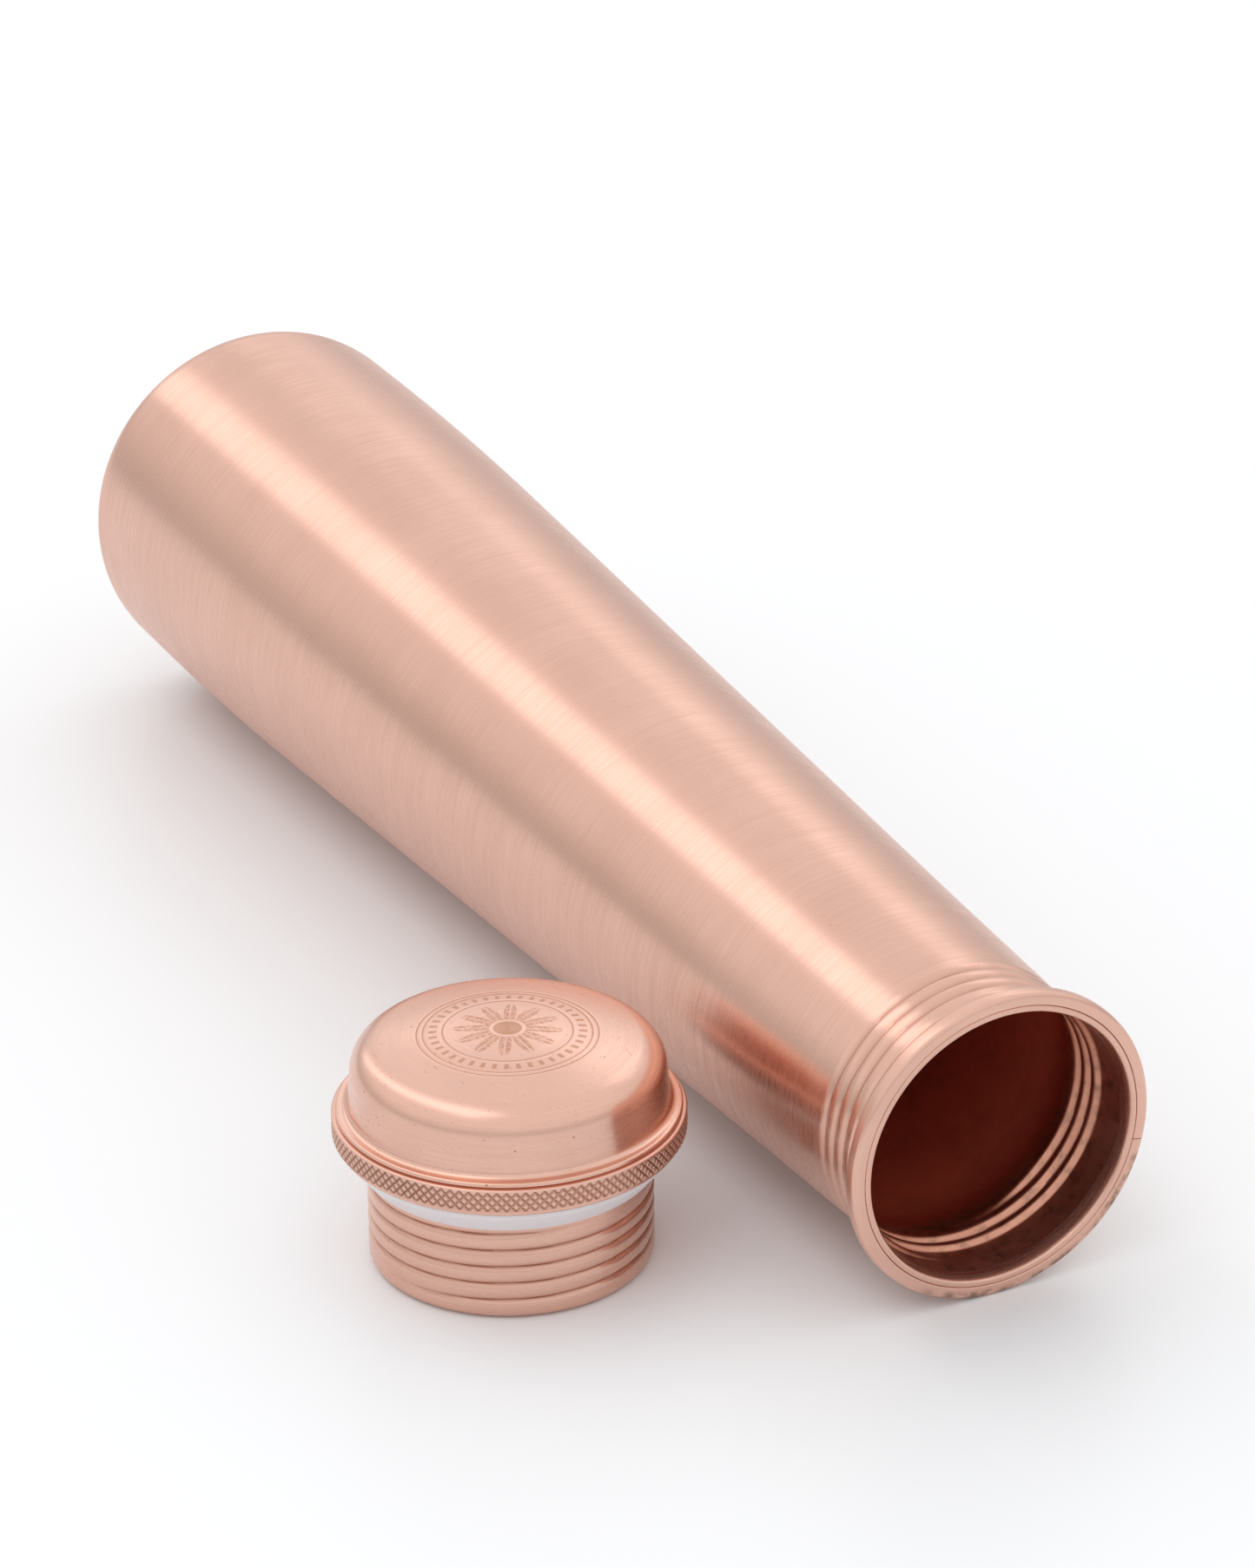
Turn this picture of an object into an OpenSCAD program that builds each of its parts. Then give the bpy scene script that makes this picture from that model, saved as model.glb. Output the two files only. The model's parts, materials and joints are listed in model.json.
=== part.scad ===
// Tapered copper water bottle lying on its side, with its screw cap standing beside the mouth.
// Millimetres. +Z is up and the resting surface is z = 0. +X points along the bottle towards
// its mouth. The origin is under the middle of the whole object's bounding box.

/* [Bottle] */
// Length of the bottle from its base to the face of the mouth ring
bottle_len = 300; // [280:1:320]
// Widest outside diameter, near the base
belly_d = 72.5; // [68:0.5:78]
// Radius of the rounded corner round the base
base_corner_r = 8; // [6:0.5:10]
// Outside diameter where the taper meets the neck
neck_d = 50; // [49.6:0.1:51]
// Thickness of the drawn copper wall
wall_t = 0.7; // [0.6:0.05:0.9]
// Height of the push-up in the middle of the base
base_dish = 2; // [1:0.5:3]

/* [Mouth] */
// Outside diameter of the ring brazed round the mouth
mouth_ring_d = 54.8; // [54:0.1:56]
// Height of the mouth ring along the bottle's axis
mouth_ring_h = 3; // [2.5:0.1:3.5]
// Inside diameter of the smooth throat between the thread and the lip
throat_d = 47.5; // [47.4:0.1:47.7]
// Length of the smooth throat
throat_len = 4; // [3:0.5:5]

/* [Thread] */
// Distance from one turn of the thread to the next
thread_pitch = 3; // [2.8:0.1:3.2]
// Turns of thread rolled into the neck
neck_turns = 3; // [2.8:0.1:3.2]
// Turns of thread rolled into the plug
plug_turns = 4.3; // [4:0.1:4.4]
// Depth of the rolled thread
thread_depth = 0.7; // [0.6:0.05:0.75]

/* [Cap] */
// Outside diameter of the knurled grip ring
grip_d = 58; // [57:0.5:60]
// Height of the grip ring
grip_h = 3.9; // [3.5:0.1:4.5]
// Outside diameter of the threaded plug
plug_d = 47; // [46.9:0.05:47.1]
// Height from the closed end of the plug to the top of its flange
plug_h = 22.8; // [22.5:0.1:23.5]
// Outside diameter of the domed top at its foot
dome_d = 52.6; // [52:0.1:53]
// Height of the whole cap
cap_h = 40.7; // [40:0.1:42]
// Height of the sealing gasket
gasket_h = 4.7; // [4.4:0.1:4.8]

/* [Layout] */
// Distance from the mouth back to the cap's axis, along the bottle
cap_back = 51.7; // [45:0.1:60]
// Distance from the bottle's axis sideways to the cap's axis
cap_side = 62.3; // [60:0.1:80]

/* [Hidden] */
$fn = 96;

// Bottle outline, as [radius, distance from the base]
belly_r = belly_d / 2;
belly_start = 20;
belly_end = 80;
neck_r = neck_d / 2;
taper_end_r = neck_r + 1.2;
taper_end = bottle_len - 48;
taper_slope = (belly_r - taper_end_r) / (taper_end - (belly_start + belly_end) / 2);
neck_start = bottle_len - 20;
shoulder_end = neck_start + 3.5;
foot_r = belly_r - base_corner_r;
dish_flank = [2, 5];

// Threaded neck and the rolled lip inside the mouth ring
thread_r = neck_r - 0.2;
groove_r = thread_r - thread_depth;
throat_r = throat_d / 2;
thread_root_r = throat_r + 0.3;
thread_crest_r = throat_r - 0.65;
throat_end = bottle_len - mouth_ring_h;
throat_start = throat_end - throat_len;
neck_thread_low = throat_start - neck_turns * thread_pitch - 1;
flare_len = 1.6;
ring_r = mouth_ring_d / 2;
lip_r = ring_r - 2.2;
lip_bevel = 0.3;
lip_roll = [0.35, 0.7];
lip_roll_h = 0.4;

// Outside radius of the wall at a distance s from the base
function wall_r(s) =
    s <= belly_start ? belly_r
    : s <= belly_end ? belly_r - taper_slope * pow(s - belly_start, 2) / (belly_end - belly_start) / 2
    : taper_end_r + taper_slope * (taper_end - s);

function arc(cr, cs, r, a0, a1, steps) =
    [for (i = [0 : steps]) let (a = a0 + (a1 - a0) * i / steps) [cr + r * cos(a), cs + r * sin(a)]];

// One face of the shell from the middle of the base to the thread, set in by t
function shell_face(t) = concat(
    [[0, base_dish + t], [foot_r - dish_flank[1], base_dish + t], [foot_r - dish_flank[0], t]],
    arc(foot_r, base_corner_r, base_corner_r - t, -90, 0, 8),
    [for (s = [belly_start : 6 : belly_end]) [wall_r(s) - t, s]],
    [[taper_end_r - t, taper_end], [neck_r - t, neck_start]]
);

module bottle_profile() {
    outside = concat(shell_face(0), [
        [thread_r, shoulder_end],
        [thread_r, throat_end - flare_len],
        [lip_r, throat_end + lip_bevel],
        [lip_r, bottle_len - lip_bevel],
        [lip_r - lip_bevel, bottle_len]
    ]);
    inside = concat(shell_face(wall_t), [
        [thread_root_r, shoulder_end - wall_t],
        [thread_root_r, throat_start],
        [throat_r, throat_start],
        [throat_r, throat_end],
        [throat_r + lip_roll[0], bottle_len - lip_roll_h],
        [throat_r + lip_roll[1], bottle_len]
    ]);
    polygon(concat(outside, [for (i = [len(inside) - 1 : -1 : 0]) inside[i]]));
}

// Helical V of a rolled thread. Its foot is at radius foot and its crest at radius crest, and
// half holds its half width at each. It starts at height low, and its ends run out to nothing.
steps_per_turn = 48;
run_out_steps = 8;
crest_half = [1.1, 0.25];
groove_half = [1.15, 0.3];
plug_groove_half = [0.75, 0.15];
helix_lap = 0.4;
function run_out(i, last) = min(1, (i + 0.6) / run_out_steps, (last - i + 0.6) / run_out_steps);
function helix_points(foot, crest, low, turns, half) =
    let (last = round(turns * steps_per_turn))
    [for (i = [0 : last])
        let (a = i * 360 / steps_per_turn, z = low + i * thread_pitch / steps_per_turn,
             k = run_out(i, last), r = foot + (crest - foot) * k)
        for (c = [[foot, -half[0] * k], [r, -half[1] * k], [r, half[1] * k], [foot, half[0] * k]])
            [c[0] * cos(a), c[0] * sin(a), z + c[1]]];

module helix(foot, crest, low, turns, half) {
    points = helix_points(foot, crest, low, turns, half);
    end = len(points) - 4;
    sides = [for (i = [0 : 4 : end - 4], j = [0 : 3])
        let (a = i + j, b = i + (j + 1) % 4)
        each [[a, b, b + 4], [a, b + 4, a + 4]]];
    caps = [[0, 3, 2], [0, 2, 1], [end, end + 1, end + 2], [end, end + 2, end + 3]];
    faces = concat(sides, caps);
    polyhedron(points, crest > foot ? faces : [for (f = faces) [f[0], f[2], f[1]]]);
}

// The bottle rests on its belly and on the mouth ring, so its axis dips towards the mouth
ring_corner = 0.9;
ring_mid = bottle_len - mouth_ring_h / 2;
tilt = max([for (s = [belly_start : 6 : belly_end]) atan2(wall_r(s) - ring_r, ring_mid - s)]);
axis_at_base = ring_r * cos(tilt) + (ring_mid + (mouth_ring_h / 2 - ring_corner)) * sin(tilt);

// Ends of the bounding box, measured from the centre of the base
back_end = base_corner_r * (cos(tilt) - 1) - foot_r * sin(tilt);
front_end = (bottle_len - ring_corner) * cos(tilt) + (ring_r - ring_corner) * sin(tilt) + ring_corner;
base_x = -(back_end + front_end) / 2;
mouth_x = base_x + bottle_len * cos(tilt);
grip_r = grip_d / 2;
axis_y = (cap_side + grip_r - belly_r) / 2;

module lay_bottle() {
    translate([base_x, axis_y, axis_at_base]) rotate([0, 90 + tilt, 0]) children();
}

module stand_cap() {
    translate([mouth_x - cap_back, axis_y - cap_side, 0]) children();
}

copper = "#d99c80";
silicone = "#c8c2c6";

module bottle_shell() {
    color(copper)
    lay_bottle()
    difference() {
        union() {
            rotate_extrude() bottle_profile();
            helix(thread_root_r + helix_lap, thread_crest_r, neck_thread_low, neck_turns, crest_half);
        }
        helix(thread_r + helix_lap, groove_r, neck_thread_low, neck_turns, groove_half);
    }
}

module mouth_ring() {
    color(copper)
    lay_bottle()
    rotate_extrude()
    polygon(concat(
        [[lip_r, throat_end + lip_bevel]],
        arc(ring_r - ring_corner, throat_end + ring_corner, ring_corner, -90, 0, 4),
        arc(ring_r - ring_corner, bottle_len - ring_corner, ring_corner, 0, 90, 4),
        [[lip_r + lip_bevel, bottle_len], [lip_r, bottle_len - lip_bevel]]
    ));
}

// Threaded plug, from its closed end up to its flange
plug_r = plug_d / 2;
plug_wall = 1.3;
plug_corner = 1.8;
plug_groove_r = plug_r - 0.9 * thread_depth;
plug_thread_low = 3;
plug_thread_a = -92;
flange_t = 1;
flange_r = grip_r - 0.6;
flange_edge = 0.5;
flange_z = plug_h - flange_t;

// Gasket under the flange, wider at its top
gasket_gap = 0.1;
gasket_top = flange_z - gasket_gap;
gasket_foot_r = plug_r + 0.8;
gasket_rim_r = flange_r - 1.2;
gasket_rim_h = 0.6;

// Grip ring on the flange, with the dome on top of it
grip_edge = 0.8;
grip_bore_r = plug_r - plug_wall;
grip_top = plug_h + grip_h;
dome_r = dome_d / 2;
dome_top_r = dome_r - 0.5;
dome_flange_r = flange_r - 0.1;
dome_flange_edge = [0.3, 0.4];
dome_foot_z = grip_top + 0.9;
dome_fillet = 1.1;
shoulder_r = 5.3;
shoulder_steps = 6;
crown_r = 115;
crown_steps = 6;
crown_mid = cap_h - crown_r;
shoulder_mid_r = dome_top_r - shoulder_r;
shoulder_mid_z = crown_mid + sqrt(pow(crown_r - shoulder_r, 2) - pow(shoulder_mid_r, 2));
crown_a = asin(shoulder_mid_r / (crown_r - shoulder_r));

module plug_shell() {
    color(copper)
    stand_cap()
    difference() {
        rotate_extrude()
        difference() {
            union() {
                square([plug_r - plug_corner, plug_h]);
                translate([0, plug_corner]) square([plug_r, plug_h - plug_corner]);
                translate([plug_r - plug_corner, plug_corner]) circle(plug_corner);
                translate([0, flange_z]) square([flange_r - flange_edge, flange_t]);
                translate([flange_r - flange_edge, plug_h - flange_edge]) circle(flange_edge);
            }
            translate([-plug_r, plug_wall]) square([2 * plug_r - plug_wall, plug_h]);
            translate([-plug_r, -plug_r]) square([plug_r, 3 * plug_r]);
        }
        rotate([0, 0, plug_thread_a])
        helix(plug_r + helix_lap, plug_groove_r, plug_thread_low, plug_turns, plug_groove_half);
    }
}

module gasket() {
    color(silicone)
    stand_cap()
    rotate_extrude()
    polygon([
        [plug_r + gasket_gap, gasket_top - gasket_h],
        [gasket_foot_r, gasket_top - gasket_h],
        [gasket_rim_r, gasket_top - gasket_rim_h],
        [gasket_rim_r, gasket_top],
        [plug_r + gasket_gap, gasket_top]
    ]);
}

module grip_ring() {
    color(copper)
    stand_cap()
    translate([0, 0, plug_h])
    rotate_extrude()
    union() {
        translate([grip_bore_r, 0]) square([grip_r - grip_bore_r - grip_edge, grip_h]);
        translate([grip_bore_r, grip_edge]) square([grip_r - grip_bore_r, grip_h - 2 * grip_edge]);
        translate([grip_r - grip_edge, grip_edge]) circle(grip_edge);
        translate([grip_r - grip_edge, grip_h - grip_edge]) circle(grip_edge);
    }
}

// The crown's outline at a radius r about its centre, from the middle out to the shoulder
function crown(r) =
    [for (i = [0 : crown_steps - 1])
        let (a = crown_a * i / crown_steps)
        [r * sin(a), crown_mid + r * cos(a)]];

module dome_shell() {
    side_a = 90 - crown_a;
    outside = concat(
        crown(crown_r),
        arc(shoulder_mid_r, shoulder_mid_z, shoulder_r, side_a, 0, shoulder_steps),
        arc(dome_r + dome_fillet, dome_foot_z + dome_fillet, dome_fillet, 180, 270, 4),
        [[dome_flange_r, grip_top + dome_flange_edge[1]], [dome_flange_r - dome_flange_edge[0], grip_top]]
    );
    inside = concat(
        [[dome_r - wall_t, grip_top], [dome_r - wall_t, dome_foot_z + dome_fillet]],
        arc(shoulder_mid_r, shoulder_mid_z, shoulder_r - wall_t, 0, side_a, shoulder_steps),
        [for (i = [crown_steps - 1 : -1 : 0]) crown(crown_r - wall_t)[i]]
    );
    color(copper)
    stand_cap()
    rotate_extrude()
    polygon(concat(outside, inside));
}

bottle_shell();
mouth_ring();
gasket();
plug_shell();
grip_ring();
dome_shell();
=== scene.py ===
"""Tapered copper water bottle lying on its side, with its screw cap standing beside the mouth.

Lengths are in metres. A piece of the bottle is turned about the bottle's own axis, with z from
the base to the mouth, and a piece of the cap about the cap's axis, with z from its closed end
to the crown. Each piece is then laid where the frame has it.
"""
import json
from math import asin, atan2, cos, floor, hypot, pi, radians, sin, sqrt

import bmesh
import bpy
from bpy.props import FloatProperty, FloatVectorProperty, IntProperty, PointerProperty
from mathutils import Matrix, Vector


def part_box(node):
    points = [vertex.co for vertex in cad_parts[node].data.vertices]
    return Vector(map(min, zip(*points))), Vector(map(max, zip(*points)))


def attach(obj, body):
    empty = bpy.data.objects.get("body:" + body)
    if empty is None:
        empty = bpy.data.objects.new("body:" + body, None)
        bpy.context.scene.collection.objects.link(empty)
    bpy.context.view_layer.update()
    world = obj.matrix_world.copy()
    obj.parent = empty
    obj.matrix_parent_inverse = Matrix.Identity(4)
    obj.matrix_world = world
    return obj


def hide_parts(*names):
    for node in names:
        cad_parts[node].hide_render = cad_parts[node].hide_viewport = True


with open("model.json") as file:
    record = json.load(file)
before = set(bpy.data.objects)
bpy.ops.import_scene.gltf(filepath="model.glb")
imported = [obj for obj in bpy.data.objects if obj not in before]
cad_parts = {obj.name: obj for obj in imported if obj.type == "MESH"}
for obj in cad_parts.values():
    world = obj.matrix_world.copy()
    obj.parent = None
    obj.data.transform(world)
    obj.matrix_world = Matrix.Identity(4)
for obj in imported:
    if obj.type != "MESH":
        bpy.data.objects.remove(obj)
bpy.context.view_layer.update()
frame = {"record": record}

bl_info = {
    "name": "Copper water bottle",
    "version": (1, 0, 0),
    "blender": (4, 5, 0),
    "location": "3D View > Sidebar > Copper bottle",
    "description": "A drawn copper water bottle with a rolled thread and a knurled screw cap",
    "category": "Add Mesh",
}

MM = 0.001
TURN = 2 * pi


# --- Where the frame has the bottle and the cap ---------------------------------------------

MOUNTS = {mount["name"]: mount for mount in frame["record"]["mounts"]}
THROAT = Vector(MOUNTS["throat"]["pos_m"])
BOTTLE_AXIS = Vector(MOUNTS["throat"]["axis"]).normalized()
THROAT_S = (THROAT - Vector(MOUNTS["base"]["pos_m"])).dot(BOTTLE_AXIS)
THROAT_R = MOUNTS["throat"]["dims"]["r_mm"] * MM
THROAT_LENGTH = MOUNTS["throat"]["dims"]["length_mm"] * MM
BASE_CENTRE = THROAT - BOTTLE_AXIS * THROAT_S
BOTTLE_TURN = pi / 2 + asin(-BOTTLE_AXIS.z)
BOTTLE_PLACE = Matrix.Translation(BASE_CENTRE) @ Matrix.Rotation(BOTTLE_TURN, 4, "Y")
CAP_PLACE = Matrix.Translation(Vector(MOUNTS["cap_end"]["pos_m"]))


def radius_of(node):
    """Largest radius of a CAD node that is round about X or Z, from its width along Y."""
    low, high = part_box(node)
    return (high.y - low.y) / 2


def heights_of(node):
    """Lowest and highest z of a CAD node of the cap."""
    low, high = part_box(node)
    return low.z, high.z


BELLY_R = radius_of("bottle_shell")
RING_R = radius_of("mouth_ring")
GASKET_R = radius_of("gasket")
FLANGE_R = radius_of("plug_shell")
GRIP_R = radius_of("grip_ring")
DOME_FOOT_R = radius_of("dome_shell")
GASKET_LOW, GASKET_HIGH = heights_of("gasket")
GRIP_LOW, GRIP_HIGH = heights_of("grip_ring")
CAP_HEIGHT = heights_of("dome_shell")[1]
THROAT_END = THROAT_S + THROAT_LENGTH / 2
THROAT_START = THROAT_S - THROAT_LENGTH / 2


# --- Sizes and finishes that a user would change ----------------------------------------------

def length(name, description, millimetres):
    """A length property with its default in millimetres."""
    return FloatProperty(
        name=name, description=description, default=millimetres * MM, unit="LENGTH", precision=5
    )


def colour(name, description, rgb):
    """A colour property."""
    return FloatVectorProperty(
        name=name, description=description, default=rgb, size=3, subtype="COLOR", min=0, max=1
    )


class BottleSizes(bpy.types.PropertyGroup):
    """Sizes of the drawn body and the ring round its mouth."""

    wall: length("Wall", "Thickness of the drawn copper", 0.7)
    base_corner: length("Base corner", "Radius of the rounded corner round the base", 8)
    base_dish: length("Base push-up", "Height of the push-up in the middle of the base", 2)
    neck_r: length("Neck radius", "Outside radius where the taper meets the neck", 25.1)
    thread_low: length("Thread start", "Distance from the base to the start of the thread", 283)
    thread_pitch: length("Pitch", "Distance from one turn of the thread to the next", 3)
    thread_turns: FloatProperty(name="Turns", description="Turns of thread in the neck", default=3)
    thread_angle: FloatProperty(
        name="Thread angle", description="Where round the neck the thread starts",
        default=0, subtype="ANGLE",
    )
    ring_height: length("Ring height", "Height of the ring brazed round the mouth", 3)


class CapSizes(bpy.types.PropertyGroup):
    """Sizes of the cap's plug, ring and dome."""

    plug_r: length("Plug radius", "Outside radius of the threaded plug", 23.5)
    plug_corner: length("Plug corner", "Radius of the plug's rounded bottom edge", 1.8)
    thread_low: length("Thread start", "Height of the start of the plug's thread", 3)
    thread_turns: FloatProperty(name="Turns", description="Turns of thread in the plug", default=4.3)
    flange: length("Flange", "Thickness of the plug's flange", 1)
    knurls: IntProperty(name="Knurls", description="Diamonds round the grip ring", default=120)
    knurl_rows: IntProperty(name="Knurl rows", description="Diamonds up the grip ring", default=2)
    knurl_depth: length("Knurl depth", "Depth of the knurl's grooves", 0.26)
    dome_r: length("Dome radius", "Outside radius of the dome's wall at its foot", 26.3)
    dome_top_r: length("Dome top radius", "Outside radius of the dome's wall at its shoulder", 25.8)
    shoulder_r: length("Shoulder", "Radius of the dome's rounded shoulder", 5.3)
    crown_r: length("Crown", "Radius of the sphere that the crown is part of", 115)


class Finishes(bpy.types.PropertyGroup):
    """Colours and roughness of the copper and the seal."""

    copper: colour("Copper", "Clean brushed copper", (0.74, 0.455, 0.362))
    # Dark copper colour used as painted shade in the thread and knurl grooves. It also colours the seam's
    # dark joint and the pits and scratches.
    groove_shade_and_marks: colour("Tarnish", "Copper that has darkened in the grooves", (0.34, 0.15, 0.095))
    stain: colour("Stain", "Brown left beside the brazing", (0.16, 0.10, 0.065))
    inside: colour("Inside", "Bare copper inside the bottle", (0.76, 0.16, 0.085))
    etching: colour("Etching", "Lines etched into the crown", (0.54, 0.27, 0.175))
    seal: colour("Seal", "Silicone of the gasket", (0.78, 0.755, 0.77))
    roughness: FloatProperty(name="Roughness", description="Roughness of brushed copper", default=0.27)


class StageSizes(bpy.types.PropertyGroup):
    """Camera and floor."""

    camera_at: FloatVectorProperty(
        name="Camera", description="Where the camera stands", default=(0.754, -0.348, 0.417),
        size=3, subtype="TRANSLATION",
    )
    camera_aim: FloatVectorProperty(
        name="Aim", description="Point on the floor in the middle of the picture",
        default=(-0.0554, 0.066, 0), size=3, subtype="TRANSLATION",
    )
    camera_roll: FloatProperty(
        name="Roll", description="Camera's roll about its own line of sight", default=-0.01,
        subtype="ANGLE",
    )
    lens: FloatProperty(name="Lens", description="Focal length in millimetres", default=116.2)
    floor: colour("Floor", "Pale paper under the bottle", (0.90, 0.912, 0.93))
    floor_size: length("Floor size", "Side of the paper", 8000)


# --- Outlines -------------------------------------------------------------------------------

def arc(centre_r, centre_z, radius, start, end, steps):
    """Points (radius, height) on an arc, with its start and end in degrees from outwards."""
    angles = [radians(start + (end - start) * i / steps) for i in range(steps + 1)]
    return [(centre_r + radius * cos(a), centre_z + radius * sin(a)) for a in angles]


def rows(start, end, spacing):
    """Evenly spaced values from start to end, about spacing apart."""
    steps = max(1, round(abs(end - start) / spacing))
    return [start + (end - start) * i / steps for i in range(steps + 1)]


def ease(t):
    """Smooth step from 0 to 1."""
    t = min(1.0, max(0.0, t))
    return t * t * (3 - 2 * t)


COLUMNS = 288
SEAL_COLUMNS = 256
RING_COLUMNS = 720
KNURL_STEPS = 6
SEAM_ANGLE = radians(79)
PLUG_START = radians(-92)

# Bottle's outline, as distances from the base
BELLY_START = 20 * MM
BELLY_END = 80 * MM
TAPER_END = 252 * MM
NECK_START = 277 * MM
SHOULDER_END = 283.5 * MM
FLARE_START = THROAT_END - 1.6 * MM
THREAD_ROOT_R = THROAT_R + 0.3 * MM
TAPER_GAIN = 1.1 * MM
SHOULDER_DROP = 0.3 * MM
NECK_GROOVE_S = 294 * MM
NECK_GROOVE_HALF = 0.7 * MM
NECK_GROOVE_DEPTH = 0.3 * MM
RING_WIDTH = 2.2 * MM
LIP_ROUND = 0.3 * MM
LIP_ROLL = 0.65 * MM
PLUG_WALL = 1.3 * MM


def body_radius(sizes, s):
    """Outside radius of the bottle's wall at a distance s from its base, above its corner."""
    taper_end_r = sizes.neck_r + TAPER_GAIN
    slope = (BELLY_R - taper_end_r) / (TAPER_END - (BELLY_START + BELLY_END) / 2)
    if s <= BELLY_START:
        return BELLY_R
    if s <= BELLY_END:
        return BELLY_R - slope * (s - BELLY_START) ** 2 / (BELLY_END - BELLY_START) / 2
    if s <= TAPER_END:
        return taper_end_r + slope * (TAPER_END - s)
    if s <= NECK_START:
        return taper_end_r - TAPER_GAIN * (s - TAPER_END) / (NECK_START - TAPER_END)
    if s <= SHOULDER_END:
        return sizes.neck_r - SHOULDER_DROP * ease((s - NECK_START) / (SHOULDER_END - NECK_START))
    neck = sizes.neck_r - SHOULDER_DROP
    groove = NECK_GROOVE_DEPTH * ease(1 - abs(s - NECK_GROOVE_S) / NECK_GROOVE_HALF)
    flare = (RING_R - RING_WIDTH - neck) * ease((s - FLARE_START) / (THROAT_END - FLARE_START))
    return neck - groove + flare


def body_outline(sizes):
    """Outline of the drawn body, from the middle of the base outwards, round the lip and back."""
    lip = THROAT_END + sizes.ring_height
    lip_r = RING_R - RING_WIDTH
    foot_r = BELLY_R - sizes.base_corner
    dish_r = foot_r - 5 * MM
    dish_foot = foot_r - 1 * MM

    def base(inset):
        flat = [(r, sizes.base_dish + inset) for r in rows(0, dish_r, 6 * MM)]
        flank = [
            (dish_r + (dish_foot - dish_r) * t, inset + sizes.base_dish * (1 - ease(t)))
            for t in rows(0, 1, 0.125)[1:]
        ]
        corner = arc(foot_r, sizes.base_corner, sizes.base_corner - inset, -90, 0, 14)
        return flat + flank + corner

    wall = rows(sizes.base_corner, NECK_START, 6 * MM)[1:]
    thread = rows(NECK_START, FLARE_START, 0.25 * MM)[1:]
    flare = rows(FLARE_START, THROAT_END, 0.3 * MM)[1:]
    outside = base(0) + [(body_radius(sizes, s), s) for s in wall + thread + flare]
    outside.append((lip_r, lip - LIP_ROUND - 0.05 * MM))
    outside += arc(lip_r - LIP_ROUND, lip - LIP_ROUND, LIP_ROUND, 20, 90, 4)

    bore = [(body_radius(sizes, s) - sizes.wall, s) for s in wall]
    bore_end = sizes.neck_r - sizes.wall
    for s in rows(NECK_START, THROAT_START, 0.25 * MM)[1:]:
        narrowing = ease((s - NECK_START) / (SHOULDER_END - NECK_START))
        bore.append((bore_end + (THREAD_ROOT_R - bore_end) * narrowing, s))
    throat = [(THROAT_R, s) for s in rows(THROAT_START + 0.3 * MM, THROAT_END, 0.8 * MM)]
    roll = [
        (THROAT_R + LIP_ROLL * t**2.2, THROAT_END + (lip - THROAT_END) * sin(t * pi / 2))
        for t in rows(0, 1, 0.125)[1:]
    ]
    inside = base(sizes.wall) + bore + throat + roll
    return outside + inside[::-1]


def ring_outline(sizes):
    """Closed outline of the mouth ring, with a fine step down to the lip inside it."""
    low = THROAT_END
    high = low + sizes.ring_height
    inner = RING_R - RING_WIDTH
    corner = 0.9 * MM
    edge = 0.22 * MM
    return (
        [(inner + 0.02 * MM, low + 0.3 * MM), (inner + 0.4 * MM, low)]
        + arc(RING_R - corner, low + corner, corner, -90, 0, 8)
        + arc(RING_R - corner, high - corner, corner, 0, 90, 8)
        + [(r, high) for r in rows(RING_R - corner, inner + edge, 0.3 * MM)[1:]]
        + arc(inner + edge + 0.02 * MM, high - edge, edge, 90, 180, 4)[1:]
        + [(inner + 0.02 * MM, high - 1 * MM)]
    )


def seal_outline():
    """Closed outline of the gasket, which widens towards the flange above it."""
    inner = GASKET_R - 3.6 * MM
    foot = inner + 0.8 * MM
    soft = 0.25 * MM
    return (
        [(inner, GASKET_LOW), (foot - soft, GASKET_LOW)]
        + arc(foot - soft, GASKET_LOW + soft, soft, -90, -35, 4)[1:]
        + arc(GASKET_R - 2 * soft, GASKET_HIGH - 0.9 * MM, 2 * soft, -45, 0, 5)
        + arc(GASKET_R - soft, GASKET_HIGH - soft, soft, 0, 90, 4)
        + [(inner, GASKET_HIGH)]
    )


def plug_outline(sizes):
    """Outline of the plug from the middle of its closed end outwards, round its flange and back."""
    corner = sizes.plug_corner
    edge = sizes.flange / 2
    flange_low = GRIP_LOW - sizes.flange
    flat = [(r, 0) for r in rows(0, sizes.plug_r - corner, 5 * MM)]
    rim = arc(sizes.plug_r - corner, corner, corner, -90, 0, 10)[1:]
    thread = [(sizes.plug_r, z) for z in rows(corner, flange_low - 0.4 * MM, 0.2 * MM)[1:]]
    fillet = [(sizes.plug_r + 0.4 * MM, flange_low)]
    flange = arc(FLANGE_R - edge, flange_low + edge, edge, -90, 90, 12)
    bore_r = sizes.plug_r - PLUG_WALL
    floor_round = 1 * MM
    bore = [(bore_r, GRIP_LOW), (bore_r, PLUG_WALL + floor_round)]
    bore += [(bore_r - floor_round, PLUG_WALL), (0, PLUG_WALL)]
    return flat + rim + thread + fillet + flange + bore


def knurl_heights(sizes):
    """Heights of the rows of vertices up the knurl, six to a diamond."""
    low = GRIP_LOW + 0.15 * MM
    steps = sizes.knurl_rows * KNURL_STEPS
    span = GRIP_HIGH - 0.55 * MM - low
    return [low + span * i / steps for i in range(steps + 1)]


def grip_outline(sizes):
    """Closed outline of the grip ring, with a small round along both edges of its knurl."""
    bore = sizes.plug_r - PLUG_WALL
    round_r = 0.4 * MM
    knurl = []
    for z in knurl_heights(sizes):
        to_edge = min(z - GRIP_LOW, GRIP_HIGH - z)
        inset = round_r - sqrt(max(0, round_r**2 - max(0, round_r - to_edge) ** 2))
        knurl.append((GRIP_R - inset, z))
    low = [(bore, GRIP_LOW), (GRIP_R - 2 * MM, GRIP_LOW), (GRIP_R - round_r, GRIP_LOW)]
    high = arc(GRIP_R - round_r, GRIP_HIGH - round_r, round_r, 10, 90, 5)
    return low + knurl + high + [(GRIP_R - 2 * MM, GRIP_HIGH), (bore, GRIP_HIGH)]


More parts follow.
